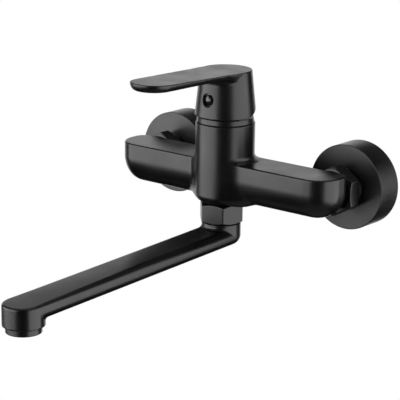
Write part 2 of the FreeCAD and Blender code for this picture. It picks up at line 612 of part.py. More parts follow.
spout = spout.cut(rod(OUTLET_BORE_R, OUTLET_BOTTOM_H - 1, OUTLET_BORE_TOP_H, 0, outlet_y))
parts["swivel_spout"] = spout

# ---------------------------------------------------------------- aerator
shell = rod(AERATOR_R, AERATOR_BOTTOM_H, OUTLET_BOTTOM_H - AERATOR_GAP, 0, outlet_y)
shell = rounded(shell, AERATOR_EDGE_R, lambda p: near(p.z, h(AERATOR_BOTTOM_H)))
thread_bottom = OUTLET_BOTTOM_H - 2 * AERATOR_GAP
shell = shell.fuse(rod(AERATOR_THREAD_R, thread_bottom, AERATOR_THREAD_TOP_H, 0, outlet_y))
shell = shell.cut(rod(AERATOR_BORE_R, AERATOR_BOTTOM_H - 1, AERATOR_THREAD_TOP_H + 1, 0, outlet_y))
parts["aerator_shell"] = shell

insert = rod(INSERT_R, INSERT_BOTTOM_H, INSERT_TOP_H, 0, outlet_y)
for radius, count in JET_RINGS:
    for i in range(count):
        angle = 2 * math.pi * i / count
        jet_x = radius * math.cos(angle)
        jet_y = outlet_y + radius * math.sin(angle)
        insert = insert.cut(rod(JET_R, INSERT_BOTTOM_H - 1, INSERT_TOP_H + 1, jet_x, jet_y))
parts["aerator_insert"] = insert
parts["aerator_washer"] = ring(OUTLET_BORE_R - 0.3, WATERWAY_HALF - 1, AERATOR_THREAD_TOP_H,
                               OUTLET_BORE_TOP_H, 0, outlet_y)

for name, shape in parts.items():
    if not shape.isValid() or shape.Volume <= 0:
        raise ValueError("bad shape: " + name)
    shape.exportStep("parts/" + name + ".step")
    print(name, round(shape.Volume, 1), len(shape.Solids))
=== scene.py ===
import json
import math

import bmesh
import bpy
import numpy as np
from bpy.props import FloatProperty, FloatVectorProperty, PointerProperty
from mathutils import Matrix, Vector


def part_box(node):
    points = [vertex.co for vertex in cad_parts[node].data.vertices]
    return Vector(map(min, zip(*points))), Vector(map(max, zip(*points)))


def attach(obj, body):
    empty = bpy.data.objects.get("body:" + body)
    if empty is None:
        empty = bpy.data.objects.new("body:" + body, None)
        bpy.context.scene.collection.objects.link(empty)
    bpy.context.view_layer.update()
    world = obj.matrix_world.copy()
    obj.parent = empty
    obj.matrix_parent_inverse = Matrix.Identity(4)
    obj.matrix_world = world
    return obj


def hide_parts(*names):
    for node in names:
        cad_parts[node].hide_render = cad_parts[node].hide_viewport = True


bl_info = {
    "name": "Wall Mixer Builder",
    "version": (1, 0, 0),
    "blender": (4, 5, 0),
    "location": "View3D > Sidebar > Wall Mixer",
    "description": "Builds the castings, the finishes and the stage of a wall mounted single lever mixer",
    "category": "Object",
}

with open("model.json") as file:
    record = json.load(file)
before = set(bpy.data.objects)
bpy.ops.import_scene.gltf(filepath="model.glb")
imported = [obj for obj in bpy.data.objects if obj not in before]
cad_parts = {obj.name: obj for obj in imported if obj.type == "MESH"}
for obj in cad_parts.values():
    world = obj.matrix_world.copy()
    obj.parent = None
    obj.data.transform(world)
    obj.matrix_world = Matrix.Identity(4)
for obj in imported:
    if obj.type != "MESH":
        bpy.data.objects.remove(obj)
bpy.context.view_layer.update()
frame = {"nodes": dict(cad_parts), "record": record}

# Shape fields below are worked in millimetres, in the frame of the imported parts:
# x to the right, y into the wall, and "up" measured from the axis of the inlets.
# A pair holds the low and the high end of a cut, or the start and the end of a fade.
MM = 0.001
RISE = 6.0                     # height of the inlet axis above the wall threads
INLET_X = 75.0
SIDES = (("left", -INLET_X), ("right", INLET_X))
CRISP_R = 0.6                  # rounding of the crisp lower and outer edges

# Body
COLUMN_Y = -55.4
COLUMN_R = 20.2
COLUMN_FLOOR = -15.0
COLUMN_FLOOR_R = 6.0
COLUMN_RIM = 40.0
COLUMN_RIM_R = 0.8
SEAT_R = 17.55
SEAT_UP = 9.5
RING_R = 18.2
RING_UP = 33.0
OPEN_UP = 50.0                 # well above the rim of the column
PORT_TOP = 10.5
OUTLET_PORT_R = 4.0
OUTLET_PORT_FORWARD = 8.0
OUTLET_PORT_BOTTOM = -10.7
SIDE_PORT_R = 3.5
SIDE_PORT_X = 9.0
SIDE_PORT_BACK = 4.4
ARM_LENGTH = 90.5
ARM_FRONT_Y = -66.4
ARM_BACK_Y = -35.9
ARM_TOP = 14.0
ARM_BOTTOM = -14.3
ARM_END_R = 17.5
ARM_BACK_END_R = 7.2
ARM_BACK_FADE = (60.0, 80.0)
ROOT_FADE = (-12.0, -2.0)
ARM_BORE_R = 8.0
ARM_BORE_Y = -51.0
ARM_BORE_START = 5.5
ARM_OPEN_Y = -30.0             # behind the arms
TAIL_R = 10.9
TAIL_DEPTH = 10.0
NIPPLE_R = 10.48
NIPPLE_SEAT = (-20.0, -10.2)

# Handle
CAP_BOTTOM = 44.6
CAP_TOP = 75.6
CAP_BOTTOM_R = 20.8
CAP_TOP_R = 17.6
CAP_WALL = 2.6
CAP_ROOF = 5.2
BEVEL = math.radians(19.5)     # slope cut off the back of the cap's skirt
BEVEL_EDGE_R = 0.5
BLADE_REACH = 74.2
BLADE_TIP_R = 15.2
BLADE_START = 3.5
BLADE_RISE = 0.030
BLADE_THICKNESS = 3.2
BLADE_UNDER_RISE = 0.0045
BLADE_UNDER_REACH = 3.4
BLADE_UNDER_CLIMB = 4.8
THROAT_FADE = (0.0, 16.0)
STEM_BOSS_R = 7.6
STEM_BOSS_BOTTOM = 53.2
STEM_SLOT_HALF_X = 3.4
STEM_SLOT_HALF_Y = 3.5
STEM_SLOT = (52.0, 63.0)
SCREW_RIB_R = 5.6
SCREW_RIB_BACK = -4.6
SCREW_HOLE_R = 2.5
CAP_OPEN = -25.0               # in front of the cap, from its axis

# Index plug
PLUG_UP = 57.0
PLUG_R = 4.4
PLUG_FACE = 18.9
PLUG_DEPTH = 3.0
PLUG_HOLE_EDGE_R = 0.45
PLUG_PLAY = 0.03
PLUG_SEAT_PLAY = 0.02
PLUG_FOOT_FACE = 1.7
DOME_CENTRE = 4.6
DOME_R = 4.9
DOME_EDGE = 3.5
DOME_JOIN_R = 0.2

# Spout
SPOUT_Y = COLUMN_Y - 2.85
OUTLET_Y = SPOUT_Y - 190.65
SPOUT_R = 13.4
SPOUT_TOP = -32.3
SPOUT_FALL = 0.0400            # fall of the upper face per millimetre of reach
SPOUT_BOTTOM = -44.8
SPOUT_BOTTOM_FALL = 0.0315
SPOUT_BELLY_R = 6.0
SPOUT_TIP_EDGE_R = 1.0
SPOUT_MIN_SHARE = 0.0025
CROWN_LEVEL = 0.35             # share of the crown that rises above the flat
NECK_TOP = -29.2
NECK_DEPTH = 6.0
NECK_JOIN_R = 2.4
NECK_FADE = (2.0, 12.0)
BOSS_BOTTOM = -54.5
BOSS_TOP = -44.2
BOSS_JOIN_R = 1.4
BOSS_FADE = (-2.0, 10.0)
WATERWAY_ROOF = 2.6
WATERWAY_HEIGHT = 6.6
WATERWAY_HALF = 8.0
SPIGOT_BORE_R = 7.92
SPIGOT_BORE = (-42.0, NECK_TOP + 2)
OUTLET_BORE_R = 10.3
OUTLET_BORE = (-58.0, -45.6)

# Nuts
HEX_EDGE_R = 0.5
HEX_SLOPE = math.radians(30)
HEX_TURNED = 0.4               # how far the turned face stands inside the flats
HEX_TURNED_R = 0.25
HEX_FACE_R = 0.3
SPOUT_NUT_FLATS = 27.8
SPOUT_NUT_TURN = math.radians(-17.0)
SPOUT_NUT = (-28.9, -15.4)
SPOUT_NUT_LIP_R = 8.4
SPOUT_NUT_LIP = (-32.0, -10.0)
SPOUT_NUT_THREAD = (-26.6, -10.0)
UNION_NUT_FLATS = 30.0
UNION_NUT = (-35.6, -25.0)
UNION_NUT_LIP_R = 11.1
UNION_NUT_LIP = (-40.0, -20.0)
UNION_NUT_THREAD_R = 13.3
UNION_NUT_THREAD = (-33.4, -20.0)

# Eccentric unions
CONE = (-14.0, -1.0)
CONE_FRONT_R = 14.5
CONE_BACK_R = 11.6
CONE_STEEPNESS = 0.9           # keeps the leaning cone's field close to a distance
CONE_EDGE_R = 0.5
THREAD_PITCH = 1.814
THREAD_DEPTH = 0.6             # share of the pitch
THREAD_STEEPNESS = 0.65        # keeps the thread's field close to a distance
FRONT_THREAD_R = 13.2
FRONT_THREAD = (13.0, 29.4)
WALL_THREAD_R = 10.48
WALL_THREAD = (-2.0, 20.0)
FRONT_BORE_R = 8.5
FRONT_BORE = (-31.0, -10.0)
WALL_BORE_R = 7.0
WALL_BORE = (-13.0, 22.0)

# Mesh sizes of the smallest pieces, in millimetres
PLUG_CELL = 0.18
THREAD_CELL = 0.45
BOX_MARGIN = 1.5

# Nodes in brass that wear the black coat where they show
COATED_NODES = ("inlet_tail_left", "inlet_tail_right", "outlet_nipple")
COAT_END = (-0.0175, -0.0155)  # where the coat gives way to bare brass, in metres along y

FLOOR_DROP = 0.40
STAGE_CENTRE = Vector((-0.02, -0.10, 0.0))
# name, azimuth, elevation, distance, width, height, brightness
SOFTBOXES = (
    ("Softbox Left", -34.0, 9.0, 1.3, 2.2, 1.5, 3.4),
    ("Softbox Right", 104.0, -2.0, 1.3, 1.9, 1.8, 2.5),
    ("Softbox Back", 219.0, -4.0, 1.6, 2.6, 1.6, 1.05),
    ("Softbox Top", 190.0, 80.0, 1.4, 1.8, 1.4, 0.6),
    ("Softbox Floor", 39.0, -80.0, 1.4, 2.0, 2.0, 0.16),
)


# ---------------------------------------------------------------- properties

class MixerPaint(bpy.types.PropertyGroup):
    """Finish of the painted pieces."""
    color: FloatVectorProperty(
        name="Paint colour", description="Base colour of the matte paint", subtype="COLOR",
        size=3, min=0.0, max=1.0, default=(0.0020, 0.0020, 0.0022))
    roughness: FloatProperty(
        name="Paint roughness", description="Mean roughness of the paint", subtype="FACTOR",
        min=0.0, max=1.0, default=0.31)
    grain: FloatProperty(
        name="Paint grain", description="Size of the fine bumps in the paint", subtype="DISTANCE",
        unit="LENGTH", min=0.00001, default=0.0005)
    relief: FloatProperty(
        name="Grain height", description="Height of the fine bumps in the paint", subtype="DISTANCE",
        unit="LENGTH", min=0.0, default=0.000012)
    wear: FloatProperty(
        name="Edge wear", description="How much paler the rubbed edges are", subtype="FACTOR",
        min=0.0, max=1.0, default=0.012)


class MixerFinish(bpy.types.PropertyGroup):
    """Colours of the materials under and behind the paint."""
    brass: FloatVectorProperty(
        name="Brass", description="Colour of the machined brass", subtype="COLOR",
        size=3, min=0.0, max=1.0, default=(0.55, 0.38, 0.18))
    steel: FloatVectorProperty(
        name="Steel", description="Colour of the stainless steel", subtype="COLOR",
        size=3, min=0.0, max=1.0, default=(0.52, 0.52, 0.54))
    rubber: FloatVectorProperty(
        name="Rubber", description="Colour of the seals", subtype="COLOR",
        size=3, min=0.0, max=1.0, default=(0.018, 0.018, 0.018))
    ceramic: FloatVectorProperty(
        name="Ceramic", description="Colour of the ceramic discs", subtype="COLOR",
        size=3, min=0.0, max=1.0, default=(0.80, 0.78, 0.74))
    cartridge: FloatVectorProperty(
        name="Cartridge plastic", description="Colour of the cartridge", subtype="COLOR",
        size=3, min=0.0, max=1.0, default=(0.16, 0.17, 0.18))
    insert: FloatVectorProperty(
        name="Insert plastic", description="Colour of the aerator's insert", subtype="COLOR",
        size=3, min=0.0, max=1.0, default=(0.30, 0.31, 0.32))
    plug: FloatVectorProperty(
        name="Plug plastic", description="Colour of the glossy plug in the handle", subtype="COLOR",
        size=3, min=0.0, max=1.0, default=(0.006, 0.006, 0.006))


class MixerCasting(bpy.types.PropertyGroup):
    """Roundings of the castings and the fineness of their meshes."""
    rim: FloatProperty(
        name="Rim radius", description="Rounding of the crisp upper rims", subtype="DISTANCE",
        unit="LENGTH", min=0.0003, default=0.0013)
    belly: FloatProperty(
        name="Arm underside reach", description="How far the rounding reaches under the arms",
        subtype="DISTANCE", unit="LENGTH", default=0.0145)
    belly_rise: FloatProperty(
        name="Arm underside rise", description="How far the rounding climbs the face of the arms",
        subtype="DISTANCE", unit="LENGTH", default=0.0185)
    root: FloatProperty(
        name="Arm root radius", description="Blend between the underside of the arms and the column",
        subtype="DISTANCE", unit="LENGTH", default=0.009)
    shoulder: FloatProperty(
        name="Arm shoulder radius", description="Blend between the upper arms and the column",
        subtype="DISTANCE", unit="LENGTH", default=0.0048)
    throat: FloatProperty(
        name="Blade throat radius", description="Blend under the blade, where it leaves the cap",
        subtype="DISTANCE", unit="LENGTH", default=0.006)
    spout_edge: FloatProperty(
        name="Spout upper edge radius", description="Rounding along the top of the spout",
        subtype="DISTANCE", unit="LENGTH", default=0.0056)
    spout_crown: FloatProperty(
        name="Spout crown", description="How far the top of the spout falls from its middle to its edges",
        subtype="DISTANCE", unit="LENGTH", default=0.0005)
    fine: FloatProperty(
        name="Fine mesh", description="Mesh size on the handle and the nuts", subtype="DISTANCE",
        unit="LENGTH", min=0.0003, default=0.0006)
    coarse: FloatProperty(
        name="Coarse mesh", description="Mesh size on the body and the spout", subtype="DISTANCE",
        unit="LENGTH", min=0.0003, default=0.0008)


class MixerStage(bpy.types.PropertyGroup):
    """Camera."""
    azimuth: FloatProperty(
        name="Camera azimuth", description="Direction of the camera round the mixer",
        subtype="ANGLE", unit="ROTATION", default=math.radians(39.17))
    elevation: FloatProperty(
        name="Camera elevation", description="Height of the camera above the horizon",
        subtype="ANGLE", unit="ROTATION", default=math.radians(15.12))
    roll: FloatProperty(
        name="Camera roll", description="Turn of the camera about its own axis",
        subtype="ANGLE", unit="ROTATION", default=math.radians(0.70))
    distance: FloatProperty(
        name="Camera distance", description="Distance from the camera to the point it looks at",
        subtype="DISTANCE", unit="LENGTH", default=1.2097)
    lens: FloatProperty(
        name="Focal length", description="Focal length on a 36 mm sensor, in millimetres",
        default=157.78)
    target: FloatVectorProperty(
        name="Look at", description="Point that the camera looks at", subtype="TRANSLATION",
        unit="LENGTH", size=3, default=(-0.0212, -0.0554, -0.013))


# ---------------------------------------------------------------- shape fields
# A field gives the distance from each point to a surface, below zero inside.

def round_cut(a, b, radius):
    """What lies in both shapes, with the edge between them rounded."""
    corner = np.hypot(np.maximum(radius + a, 0), np.maximum(radius + b, 0))
    return np.minimum(np.maximum(a, b), -radius) + corner


def oval_cut(a, b, radius_a, radius_b):
    """As round_cut, with an oval rounding that reaches further on one face than on the other."""
    corner = np.hypot(np.maximum(1 + a / radius_a, 0), np.maximum(1 + b / radius_b, 0))
    return np.maximum((corner - 1) * min(radius_a, radius_b), np.maximum(a, b))


def round_join(a, b, radius):
    """Both shapes together, with a fillet between them."""
    corner = np.hypot(np.maximum(radius - a, 0), np.maximum(radius - b, 0))
    return np.maximum(np.minimum(a, b), radius) - corner


def between(value, low, high):
    """Slab between two values of one coordinate."""
    return np.abs(value - (low + high) / 2) - (high - low) / 2


def rod(across_a, across_b, along, radius, low, high):
    """Round bar along one coordinate; the other two are given from its axis."""
    return np.maximum(np.hypot(across_a, across_b) - radius, between(along, low, high))


def ramp(value, start, end):
    """Smooth step from 0 at start to 1 at end."""
    t = np.clip((value - start) / (end - start), 0.0, 1.0)
    return t * t * (3.0 - 2.0 * t)


def hexagon(a, b, flats, turn, radius):
    """Hexagonal bar with softened corners; turn is the angle of one flat's normal."""
    field = np.full_like(a, -1e3)
    for i in range(3):
        angle = turn + i * math.pi / 3
        flat = np.abs(a * math.cos(angle) + b * math.sin(angle)) - flats / 2
        field = round_cut(field, flat, radius)
    return field


def hex_nut(a, b, along, flats, turn, low, high):
    """Hexagonal nut whose corners are turned off at both ends."""
    field = hexagon(a, b, flats, turn, HEX_EDGE_R)
    reach = np.hypot(a, b) - flats / 2 + HEX_TURNED
    for face in (along - high, low - along):
        turned = face * math.cos(HEX_SLOPE) + reach * math.sin(HEX_SLOPE)
        field = round_cut(field, turned, HEX_TURNED_R)
        field = round_cut(field, face, HEX_FACE_R)
    return field


def screw_thread(a, b, along, radius, pitch, low, high):
    """Threaded bar along one coordinate, with its far end chamfered."""
    depth = THREAD_DEPTH * pitch
    phase = np.mod(along / pitch + np.arctan2(b, a) / (2 * math.pi), 1.0)
    profile = radius - depth * np.abs(2 * phase - 1)
    reach = np.hypot(a, b)
    thread = (reach - profile) * THREAD_STEEPNESS
    lead = (reach - radius + depth + along - high) * math.sqrt(0.5)
    return np.maximum(np.maximum(thread, lead), between(along, low, high))


# ---------------------------------------------------------------- meshes from fields

def slope_of(field, points, step=0.04):
    """Gradient of a field at some points."""
    slopes = np.empty_like(points)
    for axis in range(3):
        shift = np.zeros(3)
        shift[axis] = step
        ahead = field(*(points + shift).T)
        behind = field(*(points - shift).T)
        slopes[:, axis] = (ahead - behind) / (2 * step)
    return slopes


def net_points(values, cells, low, cell):
    """One point in each cell that the surface crosses: the mean of its crossings."""
    corners = np.array([(i, j, k) for i in (0, 1) for j in (0, 1) for k in (0, 1)])
    at = [values[tuple((cells + corner).T)] for corner in corners]
    total = np.zeros(cells.shape)
    count = np.zeros(len(cells))
    for first in range(8):
        for axis in range(3):
            second = first + (4, 2, 1)[axis]
            if corners[first][axis] == 1:
                continue
            crosses = (at[first] < 0) != (at[second] < 0)
            gap = np.where(crosses, at[first] - at[second], 1.0)
            share = at[first] / gap
            point = np.tile(corners[first].astype(float), (len(cells), 1))
            point[:, axis] += share
            total[crosses] += point[crosses]
            count += crosses
    return low + cell * (cells + total / count[:, None])


def net_faces(inside, index):
    """The quads between neighbouring cells, facing outwards."""
    faces = []
    for axis in range(3):
        b, c = (axis + 1) % 3, (axis + 2) % 3
        near = [slice(1, -1)] * 3
        near[axis] = slice(0, -1)
        far = list(near)
        far[axis] = slice(1, None)
        leaves = inside[tuple(near)] & ~inside[tuple(far)]
        enters = ~inside[tuple(near)] & inside[tuple(far)]
        start = np.ones(3, int)
        start[axis] = 0
        for edges, order in ((leaves, ((1, 1), (0, 1), (0, 0), (1, 0))),
                             (enters, ((1, 0), (0, 0), (0, 1), (1, 1)))):
            cells = np.argwhere(edges) + start
            quad = []
            for back_b, back_c in order:
                cell = cells.copy()
                cell[:, b] -= back_b
                cell[:, c] -= back_c
                quad.append(index[tuple(cell.T)])
            faces.append(np.array(quad).T)
    return np.vstack(faces)


def mesh_of(name, field, low, high, cell):
    """Closed mesh of a field's surface, with its points and normals set on the true surface."""
    low, high = np.array(low, float), np.array(high, float)
    counts = np.ceil((high - low) / cell).astype(int) + 1
    lines = [low[i] + cell * np.arange(counts[i]) for i in range(3)]
    values = field(*np.meshgrid(*lines, indexing="ij"))
    inside = values < 0
    filled = np.zeros(counts - 1, int)
    for i in (0, 1):
        for j in (0, 1):
            for k in (0, 1):
                filled += inside[i:counts[0] - 1 + i, j:counts[1] - 1 + j, k:counts[2] - 1 + k]
    cells = np.argwhere((filled > 0) & (filled < 8))
    index = np.full(counts - 1, -1)
    index[tuple(cells.T)] = np.arange(len(cells))
    points = net_points(values, cells, low, cell)
    for _ in range(3):
        slopes = slope_of(field, points)
        size = np.maximum((slopes ** 2).sum(1), 0.1)
        step = slopes * (field(*points.T) / size)[:, None]
        points -= np.clip(step, -cell / 2, cell / 2)
    normals = slope_of(field, points)
    normals /= np.maximum(np.linalg.norm(normals, axis=1), 1e-6)[:, None]
    mesh = bpy.data.meshes.new(name)
    mesh.from_pydata((points * MM).tolist(), [], net_faces(inside, index).tolist())
    mesh.shade_smooth()
    mesh.normals_split_custom_set_from_vertices(normals.tolist())
    return mesh


def add_piece(name, mesh, body, slot_name, material, *replaced):
    """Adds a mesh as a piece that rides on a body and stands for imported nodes."""
    piece = bpy.data.objects.new(name, mesh)
    bpy.context.scene.collection.objects.link(piece)
    mesh.materials.append(material)
    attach(piece, body)
    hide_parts(*replaced)
    return piece


# ---------------------------------------------------------------- materials

MATERIALS = {}


def new_material(name, metallic=0.0, specular=0.5, coat=0.0):
    """Node material with its principled shader."""
    material = bpy.data.materials.new(name)
    material.use_nodes = True
    shader = material.node_tree.nodes["Principled BSDF"]
    shader.inputs["Metallic"].default_value = metallic
    shader.inputs["Specular IOR Level"].default_value = specular
    shader.inputs["Coat Weight"].default_value = coat
    return material, material.node_tree, shader


def noise(nt, scale, detail, stretch=(1.0, 1.0, 1.0)):
    """Noise in the piece's own coordinates."""
    place = nt.nodes.new("ShaderNodeTexCoord")
    mapping = nt.nodes.new("ShaderNodeMapping")
    mapping.inputs["Scale"].default_value = stretch
    texture = nt.nodes.new("ShaderNodeTexNoise")
    texture.inputs["Scale"].default_value = scale
    texture.inputs["Detail"].default_value = detail
    nt.links.new(place.outputs["Object"], mapping.inputs["Vector"])
    nt.links.new(mapping.outputs["Vector"], texture.inputs["Vector"])
    return texture.outputs["Fac"]


def spread(nt, source, low, high):
    """Maps a 0 to 1 value onto a range."""
    node = nt.nodes.new("ShaderNodeMapRange")
    node.inputs["From Min"].default_value = 0.3
    node.inputs["From Max"].default_value = 0.7
    node.inputs["To Min"].default_value = low
    node.inputs["To Max"].default_value = high
    nt.links.new(source, node.inputs["Value"])
    return node.outputs["Result"]


def tint(nt, source, dark, light):
    """Colour that follows a 0 to 1 value."""
    node = nt.nodes.new("ShaderNodeValToRGB")
    node.color_ramp.elements[0].position = 0.3
    node.color_ramp.elements[1].position = 0.7
    node.color_ramp.elements[0].color = (*dark, 1.0)
    node.color_ramp.elements[1].color = (*light, 1.0)
    nt.links.new(source, node.inputs["Fac"])
    return node.outputs["Color"]


def bump(nt, shader, source, height):
    """Fine relief."""
    node = nt.nodes.new("ShaderNodeBump")
    node.inputs["Strength"].default_value = 1.0
    node.inputs["Distance"].default_value = height
    nt.links.new(source, node.inputs["Height"])
    nt.links.new(node.outputs["Normal"], shader.inputs["Normal"])


def edge_mask(nt):
    """One along convex edges, zero elsewhere."""
    geometry = nt.nodes.new("ShaderNodeNewGeometry")
    node = nt.nodes.new("ShaderNodeMapRange")
    node.inputs["From Min"].default_value = 0.53
    node.inputs["From Max"].default_value = 0.60
    nt.links.new(geometry.outputs["Pointiness"], node.inputs["Value"])
    return node.outputs["Result"]


def paint_material():
    """Matte black paint: fine grain, soft blotches of gloss, slightly rubbed edges."""
    paint = bpy.context.scene.mixer_paint
    material, nt, shader = new_material("Matte Black Paint")
    cloud = noise(nt, 45.0, 4.0)
    rough = spread(nt, cloud, paint.roughness - 0.04, paint.roughness + 0.04)
    nt.links.new(rough, shader.inputs["Roughness"])
    color = Vector(paint.color)
    flat = tint(nt, cloud, color * 0.85, color * 1.15)
    mix = nt.nodes.new("ShaderNodeMix")
    mix.data_type = "RGBA"
    worn = color + Vector((paint.wear, paint.wear, paint.wear))
    mix.inputs["B"].default_value = (*worn, 1.0)
    nt.links.new(edge_mask(nt), mix.inputs["Factor"])
    nt.links.new(flat, mix.inputs["A"])
    nt.links.new(mix.outputs["Result"], shader.inputs["Base Color"])
    bump(nt, shader, noise(nt, 1.0 / paint.grain, 2.0), paint.relief)
    return material


def metal_material(name, color, roughness, turning):
    """Machined metal with fine turning marks across the piece's long axis."""
    material, nt, shader = new_material(name, metallic=1.0)
    marks = noise(nt, 700.0, 3.0, turning)
    color = Vector(color)
    nt.links.new(tint(nt, noise(nt, 90.0, 3.0), color * 0.85, color * 1.08), shader.inputs["Base Color"])
    nt.links.new(spread(nt, marks, roughness - 0.07, roughness + 0.09), shader.inputs["Roughness"])
    bump(nt, shader, marks, 0.00001)
    return material


def coated_brass_material(color):
    """Machined brass whose front end, next to the nut, carries the black coat."""
    material = metal_material("Coated Brass", color, 0.30, (0.05, 1.0, 0.05))
    nt = material.node_tree
    shader = nt.nodes["Principled BSDF"]
    place = nt.nodes.new("ShaderNodeTexCoord")
    split = nt.nodes.new("ShaderNodeSeparateXYZ")
    bare = nt.nodes.new("ShaderNodeMapRange")
    bare.inputs["From Min"].default_value = COAT_END[0]
    bare.inputs["From Max"].default_value = COAT_END[1]
    nt.links.new(place.outputs["Object"], split.inputs["Vector"])
    nt.links.new(split.outputs["Y"], bare.inputs["Value"])
    nt.links.new(bare.outputs["Result"], shader.inputs["Metallic"])
    mix = nt.nodes.new("ShaderNodeMix")
    mix.data_type = "RGBA"
    coat = bpy.context.scene.mixer_paint.color
    mix.inputs["A"].default_value = (*coat, 1.0)
    nt.links.new(bare.outputs["Result"], mix.inputs["Factor"])
    nt.links.new(shader.inputs["Base Color"].links[0].from_socket, mix.inputs["B"])
    nt.links.new(mix.outputs["Result"], shader.inputs["Base Color"])
    return material


def plastic_material(name, color, roughness, grain, relief, specular=0.5, coat=0.0):
    """Moulded plastic, rubber or fired ceramic: even colour, faint mottling and grain."""
    material, nt, shader = new_material(name, specular=specular, coat=coat)
    color = Vector(color)
    cloud = noise(nt, 60.0, 3.0)
    nt.links.new(tint(nt, cloud, color * 0.88, color * 1.1), shader.inputs["Base Color"])
    nt.links.new(spread(nt, cloud, roughness - 0.04, roughness + 0.05), shader.inputs["Roughness"])
    bump(nt, shader, noise(nt, 1.0 / grain, 2.0), relief)
    return material


# ---------------------------------------------------------------- fields of the pieces

def body_field(x, y, z):
    """Column, arms and their blends, with the waterways and seats cut out."""
    casting = bpy.context.scene.mixer_casting
    up = z - RISE
    aside = y - COLUMN_Y
    rim = casting.rim / MM
    column = round_cut(np.hypot(x, aside) - COLUMN_R, COLUMN_FLOOR - up, COLUMN_FLOOR_R)
    column = round_cut(column, up - COLUMN_RIM, COLUMN_RIM_R)
    arms = round_cut(np.abs(x) - ARM_LENGTH, ARM_FRONT_Y - y, ARM_END_R)
    arms = round_cut(arms, y - ARM_BACK_Y, rim + ARM_BACK_END_R * ramp(np.abs(x), *ARM_BACK_FADE))
    arms = oval_cut(arms, ARM_BOTTOM - up, casting.belly / MM, casting.belly_rise / MM)
    arms = round_cut(arms, up - ARM_TOP, rim)
    blend = casting.root / MM + (casting.shoulder - casting.root) / MM * ramp(up, *ROOT_FADE)
    field = round_join(column, arms, blend)
    cuts = [
        rod(x, aside, up, SEAT_R, SEAT_UP, OPEN_UP),
        rod(x, aside, up, RING_R, RING_UP, OPEN_UP),
        rod(x, aside + OUTLET_PORT_FORWARD, up, OUTLET_PORT_R, OUTLET_PORT_BOTTOM, PORT_TOP),
        rod(x, y - SPOUT_Y, up, NIPPLE_R, *NIPPLE_SEAT),
    ]
    for _, inlet in SIDES:
        sign = math.copysign(1.0, inlet)
        cuts += [
            rod(y - ARM_BORE_Y, up, x * sign, ARM_BORE_R, ARM_BORE_START, INLET_X),
            rod(x - inlet, up, y, ARM_BORE_R, ARM_BORE_Y, ARM_OPEN_Y),
            rod(x - inlet, up, y, TAIL_R, ARM_BACK_Y - TAIL_DEPTH, ARM_OPEN_Y),
            rod(x - sign * SIDE_PORT_X, aside - SIDE_PORT_BACK, up, SIDE_PORT_R, 0.0, PORT_TOP),
        ]
    for cut in cuts:
        field = np.maximum(field, -cut)
    return field


def cap_cone(x, aside, up):
    """Outer face of the cap."""
    taper = (CAP_BOTTOM_R - CAP_TOP_R) / (CAP_TOP - CAP_BOTTOM)
    radius = CAP_BOTTOM_R - taper * (up - CAP_BOTTOM)
    return (np.hypot(x, aside) - radius) / math.sqrt(1 + taper * taper)


def blade_outline(x, reach):
    """Plan of the blade: two circles and the lines that touch both."""
    lean = (CAP_TOP_R - BLADE_TIP_R) / BLADE_REACH
    width = math.sqrt(1 - lean * lean)
    across = np.abs(x)
    along = -lean * across + width * reach
    root = np.hypot(across, reach) - CAP_TOP_R
    tip = np.hypot(across, reach - BLADE_REACH) - BLADE_TIP_R
    edge = width * across + lean * reach - CAP_TOP_R
    return np.where(along < 0, root, np.where(along > width * BLADE_REACH, tip, edge))


def lever_field(x, y, z):
    """Cap and blade in one, hollow inside, with its boss, slot and screw hole."""
    casting = bpy.context.scene.mixer_casting
    up = z - RISE
    aside = y - COLUMN_Y
    reach = -aside
    cone = cap_cone(x, aside, up)
    cap = round_cut(cone, CAP_BOTTOM - up, CRISP_R)
    lifted = np.maximum(reach - BLADE_START, 0.0)
    under = CAP_TOP - BLADE_THICKNESS + BLADE_UNDER_RISE * lifted
    blade = oval_cut(blade_outline(x, reach), under - up, BLADE_UNDER_REACH, BLADE_UNDER_CLIMB)
    field = round_join(cap, blade, casting.throat / MM * ramp(reach, *THROAT_FADE))
    field = round_cut(field, up - CAP_TOP - BLADE_RISE * lifted, CRISP_R)
    hollow = np.maximum(cone + CAP_WALL, up - CAP_TOP + CAP_ROOF)
    boss = rod(x, aside, up, STEM_BOSS_R, STEM_BOSS_BOTTOM, CAP_TOP)
    rib = rod(x, up - PLUG_UP, aside, SCREW_RIB_R, -PLUG_FACE, SCREW_RIB_BACK)
    hollow = np.maximum(hollow, -np.minimum(boss, rib))
    field = np.maximum(field, -hollow)
    slot = np.maximum(np.abs(x) - STEM_SLOT_HALF_X, np.abs(aside) - STEM_SLOT_HALF_Y)
    slot = np.maximum(slot, between(up, *STEM_SLOT))
    field = np.maximum(field, -slot)
    field = np.maximum(field, -rod(x, up - PLUG_UP, aside, SCREW_HOLE_R, CAP_OPEN, 0.0))
    hole = rod(x, up - PLUG_UP, aside, PLUG_R, CAP_OPEN, PLUG_DEPTH - PLUG_FACE)
    field = round_cut(field, -hole, PLUG_HOLE_EDGE_R)
    bevel = aside * math.sin(BEVEL) - (up - CAP_BOTTOM) * math.cos(BEVEL)
    return round_cut(field, bevel, BEVEL_EDGE_R)


def plug_field(x, y, z):
    """Domed button on a thin foot, at the bottom of its hole."""
    up = z - RISE - PLUG_UP
    depth = y - (COLUMN_Y - PLUG_FACE)
    foot = rod(x, up, depth, PLUG_R - PLUG_PLAY, PLUG_FOOT_FACE, PLUG_DEPTH - PLUG_SEAT_PLAY)
    dome = np.sqrt(x * x + up * up + (depth - DOME_CENTRE) ** 2) - DOME_R
    dome = round_cut(dome, np.hypot(x, up) - DOME_EDGE, CRISP_R)
    dome = np.maximum(dome, depth - PLUG_DEPTH + PLUG_SEAT_PLAY)
    return round_join(foot, dome, DOME_JOIN_R)


